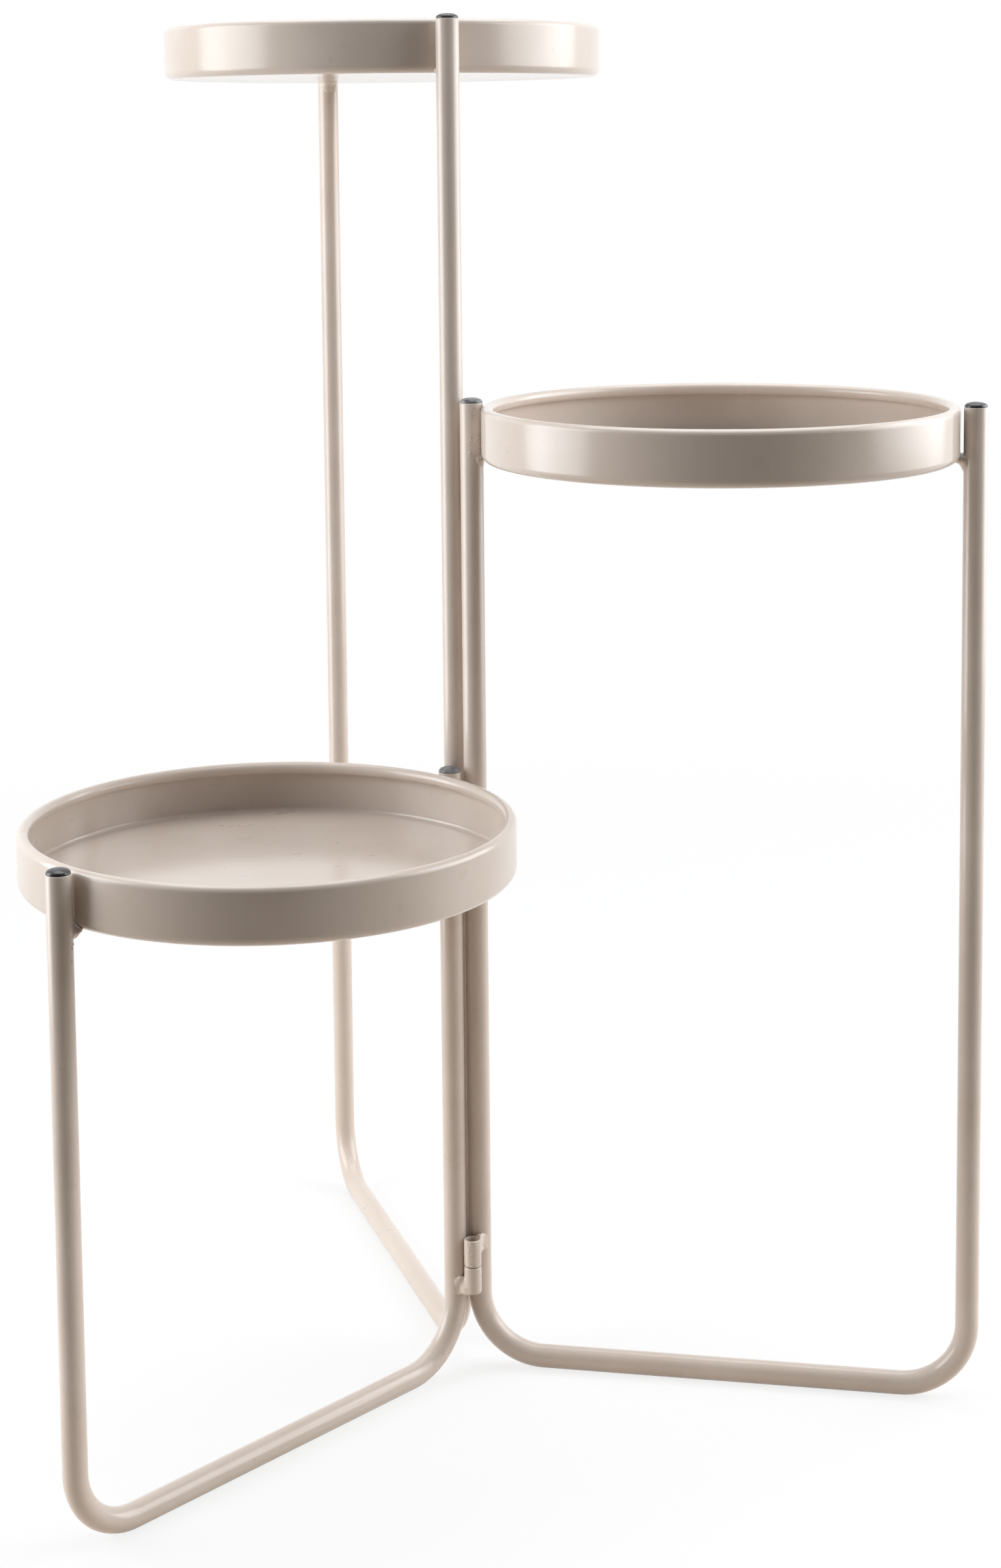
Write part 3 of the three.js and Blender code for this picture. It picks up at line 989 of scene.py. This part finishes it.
def spatter_tree():
    tree, given, result = new_tree(
        "spatter",
        "GeometryNodeTree",
        {
            "Leg": VECTOR,
            "First Bearing": FLOAT,
            "Last Bearing": FLOAT,
            "Low": FLOAT,
            "High": FLOAT,
            "Smallest": FLOAT,
            "Largest": FLOAT,
            "Count": INTEGER,
            "Seed": INTEGER,
            "Coat": MATERIAL,
        },
        {"Geometry": GEOMETRY},
    )
    seed = given["Seed"]
    bearing = random_value(tree, given["First Bearing"], given["Last Bearing"], seed, 1)
    height = random_value(tree, given["Low"], given["High"], seed, 2)
    size = random_value(tree, given["Smallest"], given["Largest"], seed, 3)
    kind = random_value(tree, 0.0, 1.0, seed, 4)
    east, north = calc(tree, "COSINE", bearing), calc(tree, "SINE", bearing)
    spoke = add(tree, "ShaderNodeCombineXYZ", {"X": east, "Y": north}).outputs[0]
    on_skin = vector_calc(tree, "MULTIPLY", spoke, (TUBE_RADIUS, TUBE_RADIUS, 0))
    on_leg = vector_calc(tree, "ADD", on_skin, given["Leg"])
    raised = add(tree, "ShaderNodeCombineXYZ", {"Z": height}).outputs[0]
    spot = vector_calc(tree, "ADD", on_leg, raised)
    points = add(tree, "GeometryNodePoints", {"Count": given["Count"], "Position": spot})
    outwards = add(tree, "FunctionNodeAlignRotationToVector", {"Vector": spoke}, axis="Z")
    both = add(tree, "GeometryNodeJoinGeometry")
    for shape, test in zip(drop_and_ring(tree), ("LESS_THAN", "GREATER_THAN")):
        scattering = {
            "Points": points.outputs[0],
            "Selection": calc(tree, test, kind, DROP_SHARE),
            "Instance": shape,
            "Rotation": outwards.outputs[0],
            "Scale": size,
        }
        placed = add(tree, "GeometryNodeInstanceOnPoints", scattering)
        tree.links.new(placed.outputs[0], both.inputs[0])
    hand_over(tree, both.outputs[0], given["Coat"], result)
    return tree


spatter = spatter_tree()
print("geometry tree", spatter.name)

# %% Scatter it
SPATTER_SEED = 5
# Each patch: frame, leg, bearings in degrees from +X, heights in mm above the tray's underside,
# count, and smallest and largest radius in mm.
PATCHES = {
    "medium_inner_by_rim": ("medium", "inner", (-75, -25), (21, 28.5), 13, (0.22, 0.50)),
    "medium_inner_by_bead": ("medium", "inner", (-95, -20), (-1, 13), 22, (0.22, 0.62)),
    "low_outer_by_bead": ("low", "outer", (-40, 20), (-14, 3), 6, (0.25, 0.65)),
    "low_inner_by_bead": ("low", "inner", (200, 260), (-8, 8), 8, (0.2, 0.45)),
    "tall_inner_by_bead": ("tall", "inner", (130, 230), (-3, 14), 12, (0.2, 0.5)),
    "tall_outer_by_bead": ("tall", "outer", (-90, -20), (-8, 6), 6, (0.2, 0.45)),
}


def scatter(patch, seed):
    name, side, bearings, heights, count, sizes = PATCHES[patch]
    values = {
        "Leg": leg_axis(name, side),
        "First Bearing": math.radians(bearings[0]),
        "Last Bearing": math.radians(bearings[1]),
        "Low": tray_foot[name] + heights[0] * MM,
        "High": tray_foot[name] + heights[1] * MM,
        "Smallest": sizes[0] * MM,
        "Largest": sizes[1] * MM,
        "Count": count,
        "Seed": seed,
        "Coat": rough_coat,
    }
    drops = grow(f"{patch}_spatter", spatter, values)
    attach(drops, body_of_node[f"{name}_frame_tube"])
    return drops


spatters = [scatter(patch, SPATTER_SEED + i) for i, patch in enumerate(PATCHES)]
print("spatter", [len(drops.data.polygons) for drops in spatters])

# %% [markdown]
# ## Floor and room
# The photograph was taken in a white room. The camera sees the floor and the world white, and the
# floor keeps a soft shadow where the bars stand on it. In a gloss the room is white only behind
# the stand, and dim in front: that is what gives the round tubes their light edges and their
# darker middle. For all other light the floor is a warm sheet that turns dark about a metre away.
# What it throws back up is weak and warm, as in the dark sides of the tubes in the photograph.

# %% Floor
WHITE = (1, 1, 1, 1)
HEADING = math.radians(10.558)  # of the camera, turned left from +Y
AHEAD = (-math.sin(HEADING), math.cos(HEADING), 0)
FLOOR_RADIUS = 12.0
FLOOR_SEEN = (0.85, 0.85, 0.85, 1)
FLOOR_ROUGHNESS = 0.6
SHADOW_SHARE = 0.2
SHADOW_FADE = (0.45, 1.6)  # metres from the middle of the stand
BOUNCE_NEAR = (0.74, 0.65, 0.56, 1)
BOUNCE_FAR = (0.18, 0.15, 0.12, 1)
BOUNCE_FADE = (0.35, 1.0)
BEHIND_FADE = (-0.5, 0.3)  # metres past the middle of the stand


def backdrop_share(tree, mirrored):
    """1 for what the camera sees straight, and the mirrored share for what a gloss shows it."""
    light = add(tree, "ShaderNodeLightPath").outputs
    through = calc(tree, "MAXIMUM", light["Is Glossy Ray"], light["Is Transmission Ray"])
    in_gloss = calc(tree, "MULTIPLY", through, mirrored)
    return calc(tree, "MAXIMUM", light["Is Camera Ray"], in_gloss)


def floor_material():
    """White, mixed with a plain pale floor near the stand so that its shadow shows."""
    material, tree, skin = new_material("floor")
    skin.inputs["Roughness"].default_value = FLOOR_ROUGHNESS
    place = add(tree, "ShaderNodeTexCoord").outputs["Object"]
    away = vector_calc(tree, "LENGTH", place)
    off_sheet = ramp(tree, away, *BOUNCE_FADE, curve="SMOOTHSTEP")
    bounce = mix_colour(tree, off_sheet, BOUNCE_NEAR, BOUNCE_FAR)
    seen = add(tree, "ShaderNodeLightPath").outputs["Is Camera Ray"]
    tree.links.new(mix_colour(tree, seen, bounce, FLOOR_SEEN), skin.inputs["Base Color"])
    along = vector_calc(tree, "DOT_PRODUCT", place, AHEAD)
    behind = ramp(tree, along, *BEHIND_FADE, curve="SMOOTHSTEP")
    off_shadow = ramp(tree, away, *SHADOW_FADE, 1 - SHADOW_SHARE, 1.0)
    share = calc(tree, "MULTIPLY", backdrop_share(tree, behind), off_shadow)
    white = add(tree, "ShaderNodeEmission", {"Color": WHITE, "Strength": 1.0}).outputs[0]
    mixed = add(tree, "ShaderNodeMixShader", {0: share, 1: skin.outputs[0], 2: white})
    tree.links.new(mixed.outputs[0], tree.nodes["Material Output"].inputs["Surface"])
    return material


floor_mesh = bpy.data.meshes.new("floor")
work = bmesh.new()
bmesh.ops.create_circle(work, cap_ends=True, segments=96, radius=FLOOR_RADIUS)
work.to_mesh(floor_mesh)
work.free()
floor_mesh.materials.append(floor_material())
new_object("floor", floor_mesh)
print("floor", FLOOR_RADIUS, "m in radius")

# %% Room
BACK_LEVEL = 0.06
FRONT_LEVEL = 0.01
FRONT_TINT = (1, 0.88, 0.76, 1)
ROOM_FADE = (-0.3, 0.5)  # cosine of the angle from straight ahead


def room_world():
    world = bpy.data.worlds.new("room")
    world.use_nodes = True
    tree = world.node_tree
    way = add(tree, "ShaderNodeTexCoord").outputs["Generated"]
    behind = vector_calc(tree, "DOT_PRODUCT", way, AHEAD)
    level = ramp(tree, behind, *ROOM_FADE, FRONT_LEVEL, BACK_LEVEL, curve="SMOOTHSTEP")
    mirrored = ramp(tree, behind, *ROOM_FADE, FRONT_LEVEL, 1.0, curve="SMOOTHSTEP")
    tint = mix_colour(tree, ramp(tree, behind, *ROOM_FADE), FRONT_TINT, WHITE)
    room = add(tree, "ShaderNodeBackground", {"Color": tint, "Strength": level}).outputs[0]
    white = add(tree, "ShaderNodeBackground", {"Color": WHITE, "Strength": 1.0}).outputs[0]
    share = backdrop_share(tree, mirrored)
    mixed = add(tree, "ShaderNodeMixShader", {0: share, 1: room, 2: white})
    output = tree.nodes.get("World Output") or tree.nodes.new("ShaderNodeOutputWorld")
    tree.links.new(mixed.outputs[0], output.inputs["Surface"])
    return world


bpy.context.scene.world = room_world()
print("world", bpy.context.scene.world.name)

# %% Softboxes
LAMP_COLOUR = (0.95, 0.975, 1.0)
LAMP_TARGET = Vector((0, 0, 0.4))
CLOTH_PEAK = 1.25
CLOTH_FALL = 4.0


def fade_to_edges(data):
    """Makes the lamp's cloth bright in the middle and dark at its edges, as a softbox is."""
    data.use_nodes = True
    tree = data.node_tree
    on_cloth = add(tree, "ShaderNodeNewGeometry").outputs["Parametric"]
    split = add(tree, "ShaderNodeSeparateXYZ", {0: on_cloth}).outputs
    parts = []
    for side in ("X", "Y"):
        from_middle = calc(tree, "SUBTRACT", calc(tree, "MULTIPLY", split[side], 2.0), 1.0)
        fall = calc(tree, "MULTIPLY", calc(tree, "POWER", from_middle, CLOTH_FALL), CLOTH_PEAK)
        parts.append(calc(tree, "SUBTRACT", CLOTH_PEAK, fall))
    cloth = tree.nodes["Emission"]
    tree.links.new(calc(tree, "MULTIPLY", *parts), cloth.inputs["Strength"])


def softbox(name, place, width, height, power):
    data = bpy.data.lights.new(name, "AREA")
    data.shape = "RECTANGLE"
    data.size = width
    data.size_y = height
    data.energy = power
    data.color = LAMP_COLOUR
    fade_to_edges(data)
    lamp = new_object(name, data)
    lamp.location = place
    lamp.rotation_mode = "QUATERNION"
    lamp.rotation_quaternion = (LAMP_TARGET - Vector(place)).to_track_quat("-Z", "Y")


softbox("left_softbox", (-1.45, -0.4, 0.75), 1.3, 1.9, 30)
softbox("right_softbox", (1.45, 0.4, 1.0), 1.9, 1.8, 35)
softbox("overhead_softbox", (0, 0.35, 3.0), 3.2, 3.2, 68)
print("softboxes", len(bpy.data.lights))

# %% [markdown]
# ## Camera
# The photograph was taken from the front, a little below the tall tray, with the film plane
# shifted down so that the legs stay upright. The place, turn, tilt and lens come from
# fitting the outlines of the tubes and trays. The lens shift is kept smaller than the
# photograph's, so that the stand stays in view from every side.

# %% Place the camera
CAMERA_PLACE = Vector((0.2529, -1.4485, 0.7035))
TILT_DOWN = 0.10927
ROLL = -0.00944
LENS = 61.13
SHIFT_UP = -0.225
NEAREST = 0.05
FARTHEST = 60

camera = new_object("camera", bpy.data.cameras.new("camera"))
camera.data.lens = LENS
camera.data.shift_y = SHIFT_UP
camera.data.clip_start = NEAREST
camera.data.clip_end = FARTHEST
aim = Matrix.Rotation(HEADING, 4, "Z") @ Matrix.Rotation(math.pi / 2 - TILT_DOWN, 4, "X")
camera.matrix_world = Matrix.Translation(CAMERA_PLACE) @ aim @ Matrix.Rotation(ROLL, 4, "Z")
bpy.context.scene.camera = camera
bpy.context.scene.view_settings.view_transform = "Standard"
print("camera at", tuple(round(c, 3) for c in CAMERA_PLACE))
